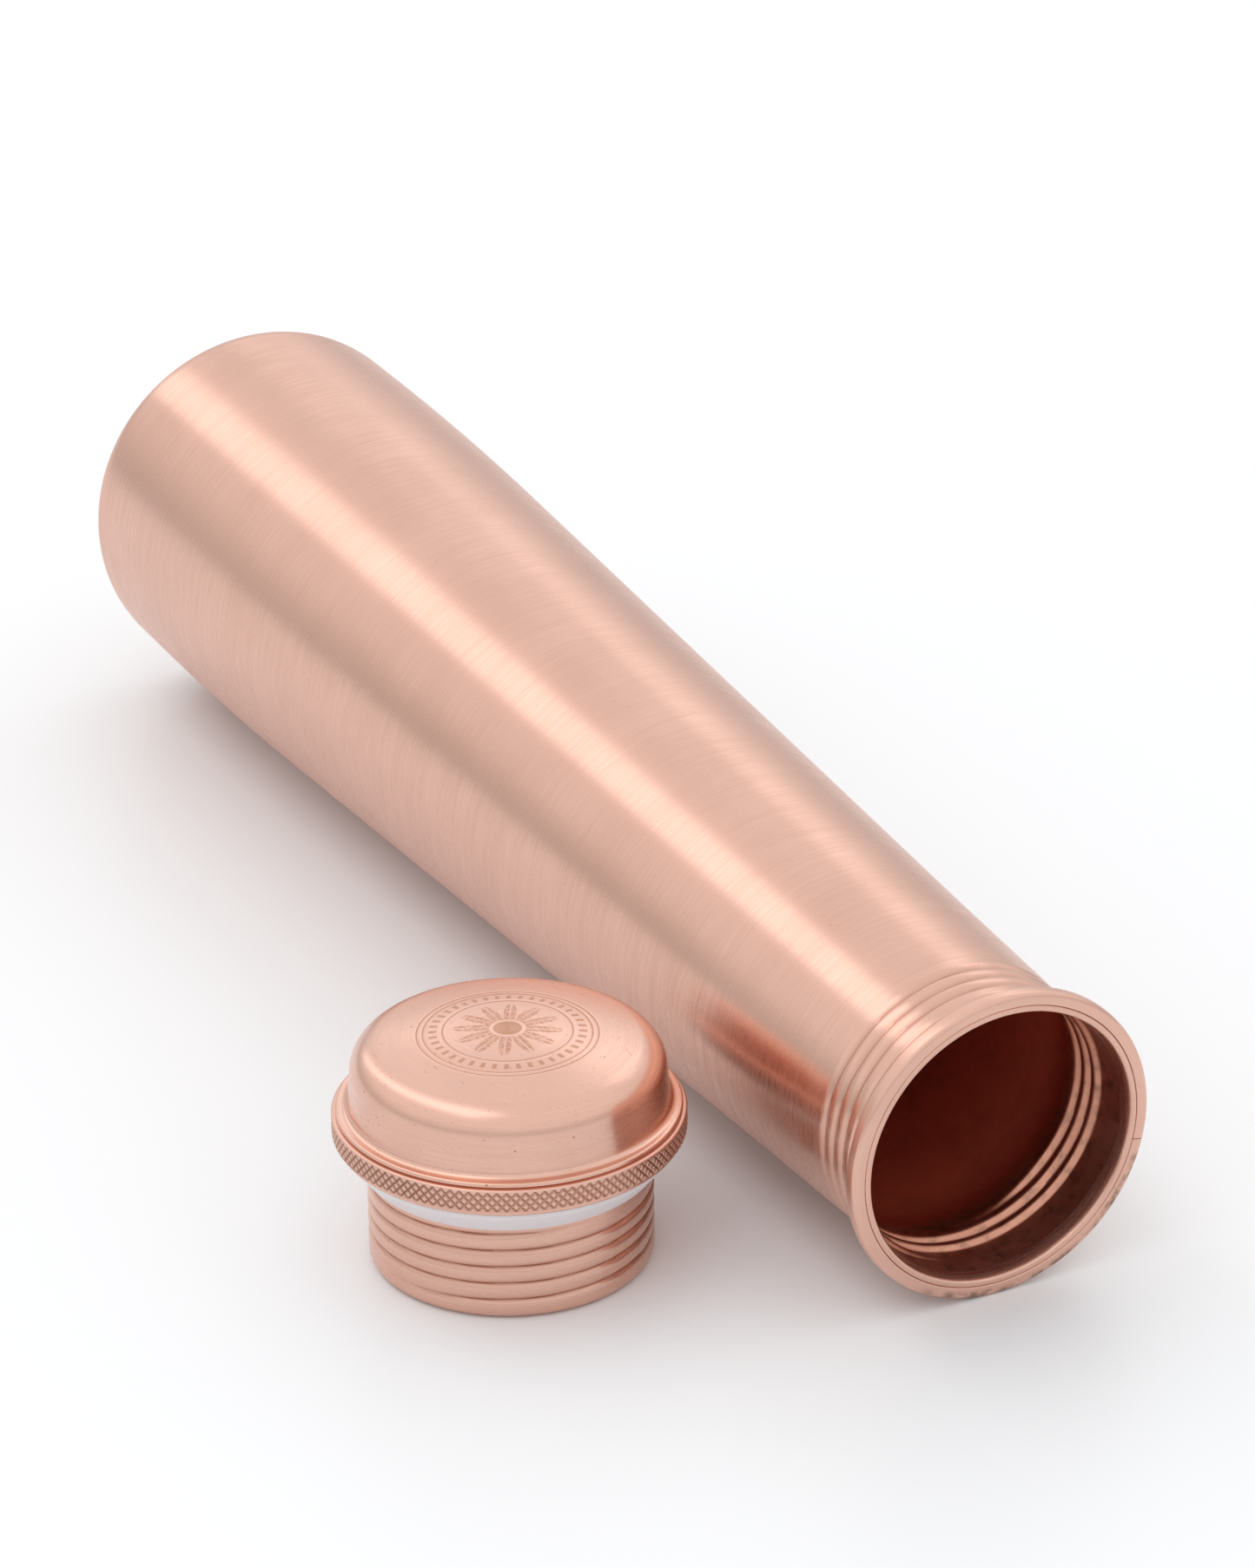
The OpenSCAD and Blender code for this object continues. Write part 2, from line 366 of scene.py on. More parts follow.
ETCHED_RINGS = (14.8 * MM, 13.8 * MM, 10.6 * MM)
ETCHED_WIDTH = 0.16 * MM
ETCHED_DEPTH = 0.03 * MM


def dome_outline(sizes):
    """Outline of the dome from the middle of its crown outwards, round its foot and back."""
    wall = 0.7 * MM
    fillet = 1.1 * MM
    foot_z = GRIP_HIGH + 0.9 * MM
    crown_z = CAP_HEIGHT - sizes.crown_r
    shoulder_at = sizes.dome_top_r - sizes.shoulder_r
    reach = sizes.crown_r - sizes.shoulder_r
    shoulder_z = crown_z + sqrt(reach**2 - shoulder_at**2)
    crown_edge = 90 - asin(shoulder_at / reach) * 180 / pi

    def crown(radius, points):
        return [(r, crown_z + sqrt(radius**2 - r**2)) for r in points]

    edge_r = sizes.crown_r * cos(radians(crown_edge))
    marks = [r + k * ETCHED_WIDTH for r in ETCHED_RINGS for k in (-1, -0.5, 0.5, 1)]
    plain = [r for r in rows(0, edge_r, 1 * MM)[:-1] if all(abs(r - m) > 0.2 * MM for m in marks)]
    outside = []
    for r, z in crown(sizes.crown_r, sorted(marks + plain)):
        etched = any(abs(r - ring) < 0.6 * ETCHED_WIDTH for ring in ETCHED_RINGS)
        outside.append((r, z - ETCHED_DEPTH if etched else z))
    outside += arc(shoulder_at, shoulder_z, sizes.shoulder_r, crown_edge, 0, 20)
    widening = sizes.dome_r - sizes.dome_top_r
    drop = foot_z + fillet - shoulder_z
    wall_rows = rows(0, 1, 0.2)[1:-1]
    outside += [(sizes.dome_top_r + widening * t, shoulder_z + drop * t) for t in wall_rows]
    outside += arc(sizes.dome_r + fillet, foot_z + fillet, fillet, 180, 270, 10)
    lip = 0.4 * MM
    outside += arc(DOME_FOOT_R - lip, foot_z - lip, lip, 90, 0, 5)
    outside += [(DOME_FOOT_R, GRIP_HIGH + 0.3 * MM), (DOME_FOOT_R - 0.3 * MM, GRIP_HIGH)]
    inside = crown(sizes.crown_r - wall, rows(0, edge_r - 0.5 * MM, 4 * MM)[:-1])
    inside += arc(shoulder_at, shoulder_z, sizes.shoulder_r - wall, crown_edge, 0, 8)
    inside += [(sizes.dome_r - wall, foot_z + fillet), (sizes.dome_r - wall, GRIP_HIGH)]
    return outside + inside[::-1]


# --- Turning, threading and knurling --------------------------------------------------------

def turn(outline, columns, closed):
    """A bmesh of an outline spun about Z. An open outline starts and ends on the axis."""
    bm = bmesh.new()
    points = [bm.verts.new((r, 0, z)) for r, z in outline]
    pairs = list(zip(points, points[1:]))
    if closed:
        pairs.append((points[-1], points[0]))
    edges = [bm.edges.new(pair) for pair in pairs]
    bmesh.ops.spin(
        bm, geom=points + edges, axis=(0, 0, 1), cent=(0, 0, 0), angle=TURN, steps=columns,
        use_merge=True,
    )
    bmesh.ops.remove_doubles(bm, verts=bm.verts, dist=0.001 * MM)
    bmesh.ops.recalc_face_normals(bm, faces=bm.faces)
    return bm


def thread_share(vert, low, pitch, turns, start, run_out):
    """How near a vertex is to the thread's line: 1 on the line, 0 halfway to the next turn.

    The second value fades the thread in and out at its ends.
    """
    angle = (atan2(vert.co.y, vert.co.x) - start) % TURN
    along = (vert.co.z - low) / pitch - angle / TURN
    turn_number = floor(along + 0.5)
    near = 1 - 2 * abs(along - turn_number)
    swept = angle + TURN * turn_number
    fade = min(ease(swept / run_out), ease((turns * TURN - swept) / run_out))
    return near, fade


def move_out(vert, distance):
    """Moves a vertex away from the Z axis."""
    radius = hypot(vert.co.x, vert.co.y)
    scale = (radius + distance) / radius
    vert.co.x *= scale
    vert.co.y *= scale


def roll_neck_thread(bm, sizes):
    """Rolls the thread into the neck: a groove outside, and a rounded crest inside it."""
    groove = bm.verts.layers.float.new("groove")
    groove_depth = 0.55 * MM
    crest_height = 0.95 * MM
    middle_r = sizes.neck_r - SHOULDER_DROP - 0.35 * MM
    for vert in bm.verts:
        if not NECK_START < vert.co.z < THROAT_END - 0.5 * MM:
            continue
        near, fade = thread_share(
            vert, sizes.thread_low, sizes.thread_pitch, sizes.thread_turns, sizes.thread_angle, radians(50)
        )
        if hypot(vert.co.x, vert.co.y) > middle_r:
            depth = fade * near**2
            move_out(vert, -groove_depth * depth)
            # Share of painted shade that darkens the outside groove, deepest at its middle
            vert[groove] = 0.35 * depth**2
        elif vert.co.z < THROAT_START + 0.1 * MM:
            crest = fade * sin(pi / 2 * min(1, near / 0.8)) ** 2
            move_out(vert, -crest_height * crest)


def roll_plug_thread(bm, sizes, pitch):
    """Rolls narrow grooves round the plug, with convex lands between them."""
    groove = bm.verts.layers.float.new("groove")
    groove_depth = 0.55 * MM
    for vert in bm.verts:
        outside = abs(hypot(vert.co.x, vert.co.y) - sizes.plug_r) < 0.1 * MM
        if not (outside and vert.co.z < GASKET_LOW):
            continue
        near, fade = thread_share(vert, sizes.thread_low, pitch, sizes.thread_turns, PLUG_START, radians(60))
        move_out(vert, -groove_depth * fade * near**3.2)
        # Share of painted shade that darkens the narrow grooves between the lands
        vert[groove] = 0.9 * fade * near**6


def cut_knurl(bm, sizes):
    """Cuts the crossed grooves of a diamond knurl into the outside of the grip ring."""
    groove = bm.verts.layers.float.new("groove")
    low, high = knurl_heights(sizes)[0], knurl_heights(sizes)[-1]
    width = 0.26
    for vert in bm.verts:
        if hypot(vert.co.x, vert.co.y) < GRIP_R - 0.35 * MM:
            continue
        across = atan2(vert.co.y, vert.co.x) / TURN * sizes.knurls
        up = (vert.co.z - low) / (high - low) * sizes.knurl_rows
        if not -0.01 < up < sizes.knurl_rows + 0.01:
            continue
        nearest = min(abs(line - round(line)) for line in (across + up, across - up))
        depth = max(0, 1 - nearest / width) ** 1.4
        move_out(vert, -sizes.knurl_depth * depth)
        # Share of painted shade that darkens the knurl's crossed grooves
        vert[groove] = min(1, 1.3 * depth)


def cut_seam(bm, angle):
    """Draws the hairline joint across the face of the mouth ring, where its ends meet."""
    depth = 0.14 * MM
    half_width = 0.07 * MM
    column = TURN / RING_COLUMNS
    groove = bm.verts.layers.float.new("groove")
    face_z = max(vert.co.z for vert in bm.verts) - 0.5 * MM
    for vert in bm.verts:
        away = (atan2(vert.co.y, vert.co.x) - angle + pi) % TURN - pi
        step = round(away / column)
        if vert.co.z < face_z or abs(step) > 1:
            continue
        radius = hypot(vert.co.x, vert.co.y)
        at = angle + step * half_width / radius
        vert.co.x = radius * cos(at)
        vert.co.y = radius * sin(at)
        if step == 0:
            vert.co.z -= depth
            vert[groove] = 1.0


# --- Finishes -------------------------------------------------------------------------------

class Finish:
    """A material's node tree, with short calls for the nodes that the finishes share."""

    def __init__(self, name, place):
        self.material = bpy.data.materials.get(name) or bpy.data.materials.new(name)
        self.material.use_nodes = True
        self.nodes = self.material.node_tree.nodes
        self.nodes.clear()
        self.surface = self.nodes.new("ShaderNodeBsdfPrincipled")
        self.axis = place.to_3x3() @ Vector((0, 0, 1))
        self.origin = place.to_translation()
        output = self.nodes.new("ShaderNodeOutputMaterial")
        self.join(self.surface.outputs["BSDF"], output.inputs["Surface"])
        coordinates = self.nodes.new("ShaderNodeTexCoord")
        turned = self.nodes.new("ShaderNodeMapping")
        turned.vector_type = "TEXTURE"
        turned.inputs["Location"].default_value = self.origin
        turned.inputs["Rotation"].default_value = place.to_euler()
        turned.inputs["Scale"].default_value = (MM, MM, MM)
        self.join(coordinates.outputs["Object"], turned.inputs["Vector"])
        self.point = turned.outputs["Vector"]
        split = self.nodes.new("ShaderNodeSeparateXYZ")
        self.join(self.point, split.inputs["Vector"])
        self.x, self.y, self.z = split.outputs
        self.radius = self.maths("SQRT", self.maths("ADD", self.square(self.x), self.square(self.y)))
        self.angle = self.maths("ARCTAN2", self.y, self.x)

    def join(self, value, socket):
        """Links an output to a socket, or sets the socket to a plain value."""
        if isinstance(value, bpy.types.NodeSocket):
            self.material.node_tree.links.new(value, socket)
        else:
            socket.default_value = value

    def maths(self, operation, first, second=0.0):
        node = self.nodes.new("ShaderNodeMath")
        node.operation = operation
        self.join(first, node.inputs[0])
        self.join(second, node.inputs[1])
        return node.outputs[0]

    def square(self, value):
        return self.maths("MULTIPLY", value, value)

    def times(self, first, second):
        return self.maths("MULTIPLY", first, second)

    def larger(self, first, second):
        return self.maths("MAXIMUM", first, second)

    def ramp(self, value, low, high, to_low=0.0, to_high=1.0):
        """Smoothly carries value from the range low to high over to another range."""
        node = self.nodes.new("ShaderNodeMapRange")
        node.interpolation_type = "SMOOTHSTEP"
        for name, given in (("From Min", low), ("From Max", high), ("To Min", to_low), ("To Max", to_high)):
            node.inputs[name].default_value = given
        self.join(value, node.inputs["Value"])
        return node.outputs["Result"]

    def band(self, value, middle, half_width, softness):
        """1 where value lies within half_width of middle, fading to 0 over softness."""
        away = self.maths("ABSOLUTE", self.maths("SUBTRACT", value, middle))
        return self.ramp(away, half_width, half_width + softness, 1.0, 0.0)

    def vector(self, x, y, z):
        node = self.nodes.new("ShaderNodeCombineXYZ")
        for value, socket in zip((x, y, z), node.inputs):
            self.join(value, socket)
        return node.outputs["Vector"]

    def noise(self, vector, scale, detail=2.0, roughness=0.5, distortion=0.0):
        node = self.nodes.new("ShaderNodeTexNoise")
        self.join(vector, node.inputs["Vector"])
        for name, given in (
            ("Scale", scale), ("Detail", detail), ("Roughness", roughness), ("Distortion", distortion)
        ):
            node.inputs[name].default_value = given
        return node.outputs["Fac"]

    def cells(self, vector, scale):
        """Distance to the nearest of scattered points, and a random value for each."""
        node = self.nodes.new("ShaderNodeTexVoronoi")
        self.join(vector, node.inputs["Vector"])
        node.inputs["Scale"].default_value = scale
        split = self.nodes.new("ShaderNodeSeparateColor")
        self.join(node.outputs["Color"], split.inputs["Color"])
        return node.outputs["Distance"], split.outputs["Red"]

    def mix(self, share, first, second):
        """Mixes two colours by a share from 0 to 1."""
        node = self.nodes.new("ShaderNodeMix")
        node.data_type = "RGBA"
        self.join(share, node.inputs["Factor"])
        for value, socket in zip((first, second), node.inputs[6:8]):
            self.join((*value, 1) if not isinstance(value, bpy.types.NodeSocket) else value, socket)
        return node.outputs[2]

    def attribute(self, name):
        """Reads a value that a mesh stores for each vertex."""
        node = self.nodes.new("ShaderNodeAttribute")
        node.attribute_name = name
        return node.outputs["Fac"]

    def bump(self, height, distance, under=None):
        """Turns a height from 0 to 1 into a normal, with distance in millimetres."""
        node = self.nodes.new("ShaderNodeBump")
        node.inputs["Strength"].default_value = 1.0
        node.inputs["Distance"].default_value = distance * MM
        self.join(height, node.inputs["Height"])
        if under is not None:
            self.join(under, node.inputs["Normal"])
        return node.outputs["Normal"]

    def brush_lines(self, along, across):
        """Streaks that run round the axis: along and across are their changes per millimetre."""
        run = self.maths("SUBTRACT", self.z, self.radius)
        return self.noise(
            self.vector(self.times(self.x, along), self.times(self.y, along), self.times(run, across)),
            1.0, 3.0, 0.6,
        )

    def stretch_round(self, amount):
        """Stretches highlights square to the brush lines, as turned metal does."""
        node = self.nodes.new("ShaderNodeVectorMath")
        node.operation = "CROSS_PRODUCT"
        node.inputs[0].default_value = self.axis
        back = self.nodes.new("ShaderNodeVectorMath")
        back.operation = "SUBTRACT"
        coordinates = self.nodes.new("ShaderNodeTexCoord")
        self.join(coordinates.outputs["Object"], back.inputs[0])
        back.inputs[1].default_value = self.origin
        self.join(back.outputs["Vector"], node.inputs[1])
        to_world = self.nodes.new("ShaderNodeVectorTransform")
        to_world.vector_type = "VECTOR"
        to_world.convert_from = "OBJECT"
        to_world.convert_to = "WORLD"
        self.join(node.outputs["Vector"], to_world.inputs["Vector"])
        unit = self.nodes.new("ShaderNodeVectorMath")
        unit.operation = "NORMALIZE"
        self.join(to_world.outputs["Vector"], unit.inputs[0])
        self.join(unit.outputs["Vector"], self.surface.inputs["Tangent"])
        self.surface.inputs["Anisotropic"].default_value = amount
        self.surface.inputs["Anisotropic Rotation"].default_value = 0.25


def brushed_copper(
    name, place, looks, roughness, stretch, lines=1.0, marks=0.0, etched=False, stains=()
):
    """Copper brushed round its axis, with painted shade darkening its grooves and small marks of use.

    Each stain is an angle round the axis, its spread, its lowest and highest z and its least
    radius, with the last three in millimetres.
    """
    finish = Finish(name, place)
    fine = finish.brush_lines(0.09, 4.2)
    broad = finish.brush_lines(0.05, 1.1)
    blotch = finish.noise(finish.point, 0.045, 3.0, 0.55)
    grain = finish.maths("ADD", finish.times(fine, 0.6), finish.times(broad, 0.4))

    paler = tuple(min(1, c * 1.04 + 0.01) for c in looks.copper)
    deeper = tuple(c * d for c, d in zip(looks.copper, (0.93, 0.88, 0.84)))
    tone = finish.ramp(grain, 0.3, 0.7)
    colour_now = finish.mix(finish.ramp(blotch, 0.35, 0.68), paler, looks.copper)
    colour_now = finish.mix(finish.times(tone, 0.35 * lines), colour_now, deeper)
    # Painted shade: the groove attribute darkens the thread and knurl grooves towards the dark groove
    # colour. Along the ring's seam the same mix draws the dark joint.
    groove = finish.attribute("groove")
    colour_now = finish.mix(groove, colour_now, looks.groove_shade_and_marks)

    height = finish.times(grain, lines)
    rough = finish.ramp(grain, 0.25, 0.75, roughness - 0.05, roughness + 0.06)
    if marks:
        distance, chance = finish.cells(finish.point, 0.42)
        pit = finish.times(finish.ramp(distance, 0.05, 0.12, 1.0, 0.0), finish.ramp(chance, 0.80, 0.82))
        scratch_run = finish.vector(
            finish.times(finish.x, 0.5), finish.times(finish.y, 6), finish.times(finish.z, 3)
        )
        scratch = finish.ramp(finish.noise(scratch_run, 1.0, 1.0, 0.5, 0.6), 0.735, 0.76)
        marked = finish.times(finish.larger(pit, scratch), marks)
        colour_now = finish.mix(finish.times(marked, 0.7), colour_now, looks.groove_shade_and_marks)
        height = finish.maths("SUBTRACT", height, finish.times(marked, 2.0))
    for at, spread, low_z, high_z, low_r in stains:
        turned = finish.maths("ABSOLUTE", finish.maths("SUBTRACT", finish.angle, at))
        here = finish.ramp(turned, spread * 0.4, spread, 1.0, 0.0)
        here = finish.times(here, finish.band(finish.z, (low_z + high_z) / 2, (high_z - low_z) / 2, 0.4))
        here = finish.times(here, finish.ramp(finish.radius, low_r, low_r + 0.8))
        spots = finish.ramp(finish.noise(finish.point, 0.4, 3.0, 0.6), 0.38, 0.72)
        colour_now = finish.mix(finish.times(finish.times(here, spots), 0.8), colour_now, looks.stain)
        rough = finish.maths("ADD", rough, finish.times(finish.times(here, spots), 0.2))
    if etched:
        mark = emblem(finish)
        colour_now = finish.mix(finish.times(mark, 0.85), colour_now, looks.etching)
        rough = finish.maths("ADD", rough, finish.times(mark, 0.12))
        height = finish.maths("SUBTRACT", height, finish.times(mark, 1.2))
    finish.join(colour_now, finish.surface.inputs["Base Color"])
    finish.join(rough, finish.surface.inputs["Roughness"])
    finish.surface.inputs["Metallic"].default_value = 1.0
    finish.join(finish.bump(height, 0.006), finish.surface.inputs["Normal"])
    finish.stretch_round(stretch)
    return finish.material


def emblem(finish):
    """A plain etched roundel: three rings, a border of dots and a rosette of leaves."""
    rings = 0.0
    for ring in ETCHED_RINGS:
        rings = finish.larger(rings, finish.band(finish.radius, ring / MM, 0.06, 0.12))

    def wave(petals, phase=0.0):
        return finish.maths("COSINE", finish.maths("ADD", finish.times(finish.angle, petals), phase))

    border = finish.band(finish.radius, 12.2, 0.55, 0.25)
    dots = finish.times(border, finish.ramp(wave(40), 0.15, 0.5))
    leaf_edge = finish.maths("ADD", finish.times(finish.maths("ABSOLUTE", wave(6)), 6.2), 3.0)
    leaf_inside = finish.ramp(finish.maths("SUBTRACT", leaf_edge, finish.radius), 0.0, 0.25)
    veins = finish.ramp(finish.maths("ABSOLUTE", wave(6)), 0.985, 0.997, 1.0, 0.0)
    hatch = finish.ramp(finish.noise(finish.point, 1.6, 2.0, 0.6), 0.44, 0.56)
    shade = finish.maths("ADD", finish.times(hatch, 0.6), 0.4)
    leaves = finish.times(finish.times(leaf_inside, veins), shade)
    heart = finish.ramp(finish.radius, 2.2, 2.5, 1.0, 0.0)
    leaves = finish.times(leaves, finish.ramp(finish.radius, 2.9, 3.1))
    return finish.larger(finish.larger(rings, dots), finish.larger(leaves, heart))


def bare_inside(looks):
    """Unbrushed copper inside the bottle, a little oxidised."""
    finish = Finish("bare copper inside", BOTTLE_PLACE)
    cloud = finish.noise(finish.point, 0.09, 4.0, 0.6)
    lines = finish.brush_lines(0.04, 0.8)
    dull = tuple(c * 0.8 for c in looks.inside)
    base = finish.mix(finish.ramp(cloud, 0.35, 0.7), looks.inside, dull)
    in_thread = finish.ramp(finish.z, 279.0, 283.0)
    worn = tuple(c * d for c, d in zip(looks.copper, (0.92, 0.76, 0.68)))
    dirt = finish.times(finish.ramp(finish.noise(finish.point, 0.4, 4.0, 0.6), 0.45, 0.75), in_thread)
    base = finish.mix(finish.times(dirt, 0.55), finish.mix(in_thread, base, worn), looks.stain)
    finish.join(base, finish.surface.inputs["Base Color"])
    finish.join(finish.ramp(finish.z, 270.0, 283.0, 0.55, 1.0), finish.surface.inputs["Metallic"])
    finish.join(finish.ramp(cloud, 0.3, 0.75, 0.36, 0.46), finish.surface.inputs["Roughness"])
    finish.join(finish.bump(lines, 0.01), finish.surface.inputs["Normal"])
    return finish.material


def pale_silicone(looks):
    """Milky silicone, faintly mottled, with a soft sheen."""
    finish = Finish("milky silicone", CAP_PLACE)
    cloud = finish.noise(finish.point, 0.25, 3.0, 0.6)
    warmer = tuple(c * d for c, d in zip(looks.seal, (0.97, 0.94, 0.95)))
    finish.join(finish.mix(cloud, looks.seal, warmer), finish.surface.inputs["Base Color"])
    finish.join(finish.ramp(cloud, 0.3, 0.7, 0.38, 0.5), finish.surface.inputs["Roughness"])
    finish.surface.inputs["Subsurface Weight"].default_value = 0.35
    finish.surface.inputs["Subsurface Radius"].default_value = (1.0, 0.8, 0.8)
    finish.surface.inputs["Subsurface Scale"].default_value = 1.5 * MM
    finish.join(finish.bump(finish.noise(finish.point, 3.0, 2.0), 0.008), finish.surface.inputs["Normal"])
    return finish.material


def pale_paper(colour_now):
    """Smooth seamless paper, which shines a little at low angles."""
    finish = Finish("seamless paper", Matrix.Identity(4))
    fleck = finish.noise(finish.point, 0.004, 2.0)
    shaded = tuple(c * 0.995 for c in colour_now)
    finish.join(finish.mix(fleck, colour_now, shaded), finish.surface.inputs["Base Color"])
    finish.surface.inputs["Roughness"].default_value = 0.42
    finish.surface.inputs["Specular IOR Level"].default_value = 0.5
    return finish.material


# --- Pieces ---------------------------------------------------------------------------------

def make_piece(name, bm, place, body, node, materials, sharp=38):
    """Lays a turned piece in the frame, as an object that rides on a body for a CAD node."""
    old = bpy.data.objects.get(name)
    if old is not None:
        bpy.data.objects.remove(old)
    bmesh.ops.transform(bm, matrix=place, verts=bm.verts)
    mesh = bpy.data.meshes.new(name)
    bm.to_mesh(mesh)
    bm.free()
    mesh.shade_smooth()
    mesh.set_sharp_from_angle(angle=radians(sharp))
    for material in materials:
        mesh.materials.append(material)
    piece = bpy.data.objects.new(name, mesh)
    bpy.context.scene.collection.objects.link(piece)
    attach(piece, body)
    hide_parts(node)
    return piece


class COPPERBOTTLE_OT_drawn_body(bpy.types.Operator):
    """Make the drawn and tapered body, with the thread rolled into its neck"""

    bl_idname = "copper_bottle.drawn_body"
    bl_label = "Drawn body"

    def execute(self, context):
        sizes = context.scene.bottle_sizes
        looks = context.scene.bottle_finishes
        bm = turn(body_outline(sizes), COLUMNS, closed=False)
        roll_neck_thread(bm, sizes)
        for face in bm.faces:
            middle = face.calc_center_median()
            outwards = Vector((middle.x, middle.y, 0)).normalized()
            if middle.z < sizes.base_corner:
                faces_in = face.normal.z > 0
            else:
                faces_in = face.normal.dot(outwards) < -0.3 and middle.z < THROAT_END
            face.material_index = int(faces_in)
        outside = brushed_copper(
            "brushed copper body", BOTTLE_PLACE, looks, looks.roughness, 0.82, 1.3, marks=0.3
        )
        make_piece(
            "drawn_body", bm, BOTTLE_PLACE, "bottle", "bottle_shell",
            (outside, bare_inside(looks)),
        )
        return {"FINISHED"}


class COPPERBOTTLE_OT_lip_ring(bpy.types.Operator):
    """Make the ring brazed round the mouth"""

    bl_idname = "copper_bottle.lip_ring"
    bl_label = "Mouth ring"

    def execute(self, context):
        looks = context.scene.bottle_finishes
        bm = turn(ring_outline(context.scene.bottle_sizes), RING_COLUMNS, closed=True)
        cut_seam(bm, SEAM_ANGLE)
        low = THROAT_END / MM
        stains = (
            (radians(60), radians(18), low, low + 3, 25.4),
            (radians(24), radians(30), low, low + 3, 25.8),
            (radians(-14), radians(22), low, low + 3, 25.6),
        )
        copper = brushed_copper(
            "ring copper", BOTTLE_PLACE, looks, looks.roughness + 0.04, 0.5, 0.7, 0.5, stains=stains
        )
        make_piece("lip_ring", bm, BOTTLE_PLACE, "bottle", "mouth_ring", (copper,))
        return {"FINISHED"}


class COPPERBOTTLE_OT_seal(bpy.types.Operator):
    """Make the silicone gasket under the cap's flange"""

    bl_idname = "copper_bottle.seal"
    bl_label = "Gasket"

    def execute(self, context):
        silicone = pale_silicone(context.scene.bottle_finishes)
        bm = turn(seal_outline(), SEAL_COLUMNS, closed=True)
        make_piece("seal", bm, CAP_PLACE, "gasket", "gasket", (silicone,))
        return {"FINISHED"}


class COPPERBOTTLE_OT_threaded_plug(bpy.types.Operator):
    """Make the plug that screws into the neck, with its flange"""

    bl_idname = "copper_bottle.threaded_plug"
    bl_label = "Threaded plug"

    def execute(self, context):
        sizes = context.scene.cap_sizes
        looks = context.scene.bottle_finishes
        bm = turn(plug_outline(sizes), COLUMNS, closed=False)
        roll_plug_thread(bm, sizes, context.scene.bottle_sizes.thread_pitch)
        copper = brushed_copper("plug copper", CAP_PLACE, looks, looks.roughness, 0.6, marks=0.6)
        make_piece("threaded_plug", bm, CAP_PLACE, "cap", "plug_shell", (copper,))
        return {"FINISHED"}


class COPPERBOTTLE_OT_knurled_ring(bpy.types.Operator):
    """Make the grip ring with its diamond knurl"""

    bl_idname = "copper_bottle.knurled_ring"
    bl_label = "Knurled ring"

    def execute(self, context):
        sizes = context.scene.cap_sizes
        looks = context.scene.bottle_finishes
        bm = turn(grip_outline(sizes), sizes.knurls * KNURL_STEPS, closed=True)
        cut_knurl(bm, sizes)
        copper = brushed_copper("knurled copper", CAP_PLACE, looks, looks.roughness + 0.06, 0.2, 0.4, 0.2)
        make_piece("knurled_ring", bm, CAP_PLACE, "cap", "grip_ring", (copper,), 24)
        return {"FINISHED"}


class COPPERBOTTLE_OT_cap_dome(bpy.types.Operator):
    """Make the domed top of the cap, with the roundel etched into its crown"""

    bl_idname = "copper_bottle.cap_dome"
    bl_label = "Cap dome"

    def execute(self, context):
        looks = context.scene.bottle_finishes
        bm = turn(dome_outline(context.scene.cap_sizes), COLUMNS, closed=False)
        copper = brushed_copper(
            "spun dome copper", CAP_PLACE, looks, looks.roughness - 0.02, 0.5, marks=1.0, etched=True
        )
        make_piece("cap_dome", bm, CAP_PLACE, "cap", "dome_shell", (copper,))
        return {"FINISHED"}


# --- Stage ----------------------------------------------------------------------------------

# The room's radiance rises from one value to the other between two heights on the unit sphere
ROOM_HEIGHTS = (0.02, 0.38)
ROOM_LIGHT = (0.62, 1.03)
# Name, radiance added to the room's, width and height in metres, and place. Each faces down.
SOFTBOXES = (
    ("softbox_long", 0.70, 4.0, 0.46, (-1.6, -0.43, 1.0)),
    ("softbox_edge", 0.18, 4.0, 0.14, (-1.6, -0.27, 1.0)),
    ("softbox_mouth", 0.50, 1.1, 0.55, (-0.75, 0.95, 1.0)),
    ("softbox_crown", 0.30, 1.0, 0.80, (-1.75, 0.8, 1.0)),
)


def aim(place, target):
    """A turn that faces an object's -Z from place towards target, with its Y upwards."""
    return (Vector(target) - Vector(place)).to_track_quat("-Z", "Y")


def light_softbox(name, radiance, width, height, place):
    """Hangs a rectangular softbox of a given radiance, its width along X."""
    lamp = bpy.data.lights.new(name, "AREA")
    lamp.shape = "RECTANGLE"
    lamp.size = width
    lamp.size_y = height
    lamp.energy = radiance * pi * width * height
    softbox = bpy.data.objects.new(name, lamp)
    softbox.location = place
    bpy.context.scene.collection.objects.link(softbox)


def fill_room():
    """Light from the white walls and ceiling of the studio, dimmer towards the horizon."""
    world = bpy.data.worlds.new("studio")
    world.use_nodes = True
    nodes, links = world.node_tree.nodes, world.node_tree.links
    background = nodes["Background"]
    coordinates = nodes.new("ShaderNodeTexCoord")
    split = nodes.new("ShaderNodeSeparateXYZ")
    height = nodes.new("ShaderNodeMapRange")
    height.interpolation_type = "SMOOTHSTEP"
    for name, given in zip(("From Min", "From Max", "To Min", "To Max"), ROOM_HEIGHTS + ROOM_LIGHT):
        height.inputs[name].default_value = given
    links.new(coordinates.outputs["Generated"], split.inputs["Vector"])
    links.new(split.outputs["Z"], height.inputs["Value"])
    links.new(height.outputs["Result"], background.inputs["Strength"])
    background.inputs["Color"].default_value = (1.0, 1.0, 1.0, 1)
    bpy.context.scene.world = world


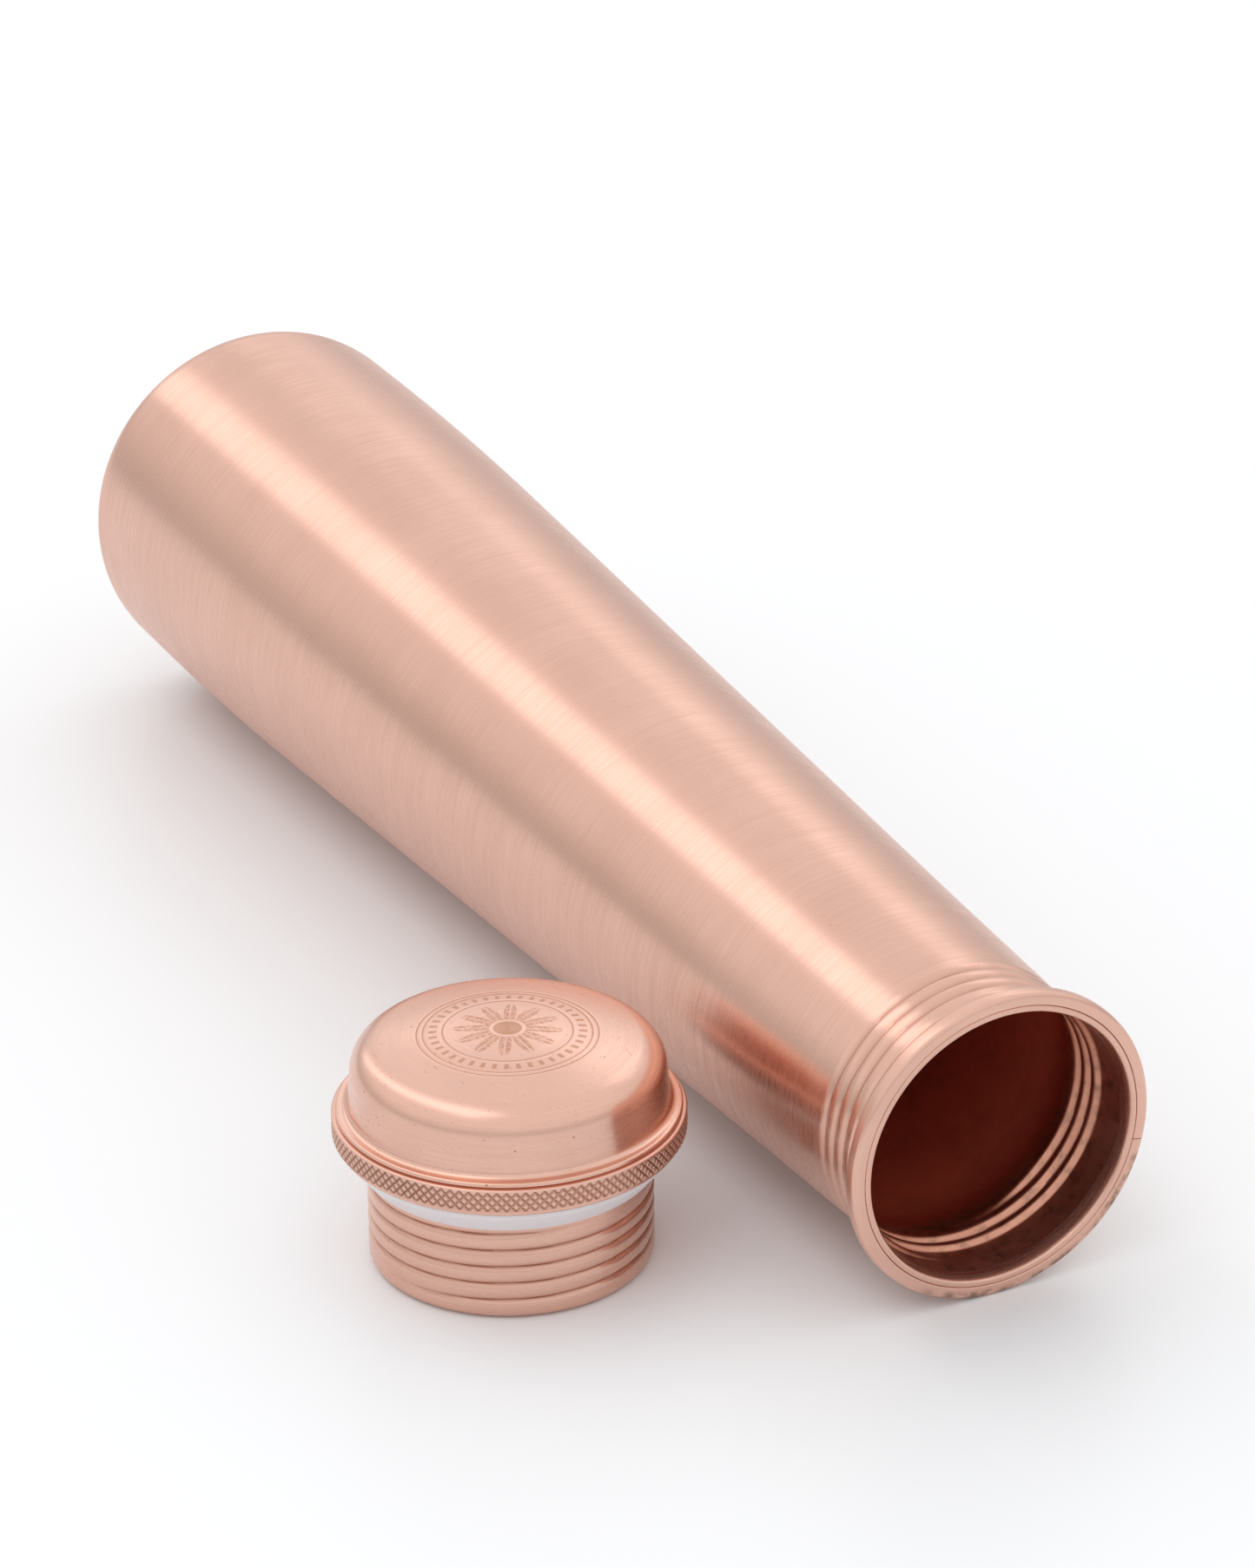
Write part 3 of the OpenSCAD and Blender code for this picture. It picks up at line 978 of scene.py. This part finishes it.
class COPPERBOTTLE_OT_stage(bpy.types.Operator):
    """Set up the camera, the pale floor and the soft studio light"""

    bl_idname = "copper_bottle.stage"
    bl_label = "Stage"

    def execute(self, context):
        sizes = context.scene.stage_sizes
        camera = bpy.data.objects.new("camera", bpy.data.cameras.new("camera"))
        camera.data.sensor_width = 36
        camera.data.lens = sizes.lens
        camera.data.clip_start = 0.05
        camera.location = sizes.camera_at
        roll = Matrix.Rotation(sizes.camera_roll, 3, "Z").to_quaternion()
        camera.rotation_mode = "QUATERNION"
        camera.rotation_quaternion = aim(sizes.camera_at, sizes.camera_aim) @ roll
        context.scene.collection.objects.link(camera)
        context.scene.camera = camera

        bm = bmesh.new()
        bmesh.ops.create_grid(bm, x_segments=1, y_segments=1, size=sizes.floor_size / 2)
        mesh = bpy.data.meshes.new("paper")
        bm.to_mesh(mesh)
        bm.free()
        mesh.materials.append(pale_paper(sizes.floor))
        paper = bpy.data.objects.new("paper", mesh)
        context.scene.collection.objects.link(paper)

        for softbox in SOFTBOXES:
            light_softbox(*softbox)
        fill_room()
        context.scene.view_settings.view_transform = "Standard"
        return {"FINISHED"}


# --- Sidebar and running --------------------------------------------------------------------

OPERATORS = (
    COPPERBOTTLE_OT_drawn_body,
    COPPERBOTTLE_OT_lip_ring,
    COPPERBOTTLE_OT_seal,
    COPPERBOTTLE_OT_threaded_plug,
    COPPERBOTTLE_OT_knurled_ring,
    COPPERBOTTLE_OT_cap_dome,
    COPPERBOTTLE_OT_stage,
)
GROUPS = {
    "bottle_sizes": BottleSizes,
    "cap_sizes": CapSizes,
    "bottle_finishes": Finishes,
    "stage_sizes": StageSizes,
}


class COPPERBOTTLE_PT_panel(bpy.types.Panel):
    """Lists the bottle's pieces in the sidebar"""

    bl_idname = "COPPERBOTTLE_PT_panel"
    bl_label = "Copper bottle"
    bl_space_type = "VIEW_3D"
    bl_region_type = "UI"
    bl_category = "Copper bottle"

    def draw(self, context):
        for operator in OPERATORS:
            self.layout.operator(operator.bl_idname)


def register():
    for cls in (*GROUPS.values(), *OPERATORS, COPPERBOTTLE_PT_panel):
        bpy.utils.register_class(cls)
    for name, group in GROUPS.items():
        setattr(bpy.types.Scene, name, PointerProperty(type=group))


def unregister():
    for name in GROUPS:
        delattr(bpy.types.Scene, name)
    for cls in (COPPERBOTTLE_PT_panel, *OPERATORS[::-1], *GROUPS.values()):
        bpy.utils.unregister_class(cls)


def main():
    register()
    for operator in OPERATORS:
        group, name = operator.bl_idname.split(".")
        getattr(getattr(bpy.ops, group), name)()


if __name__ == "__main__":
    main()
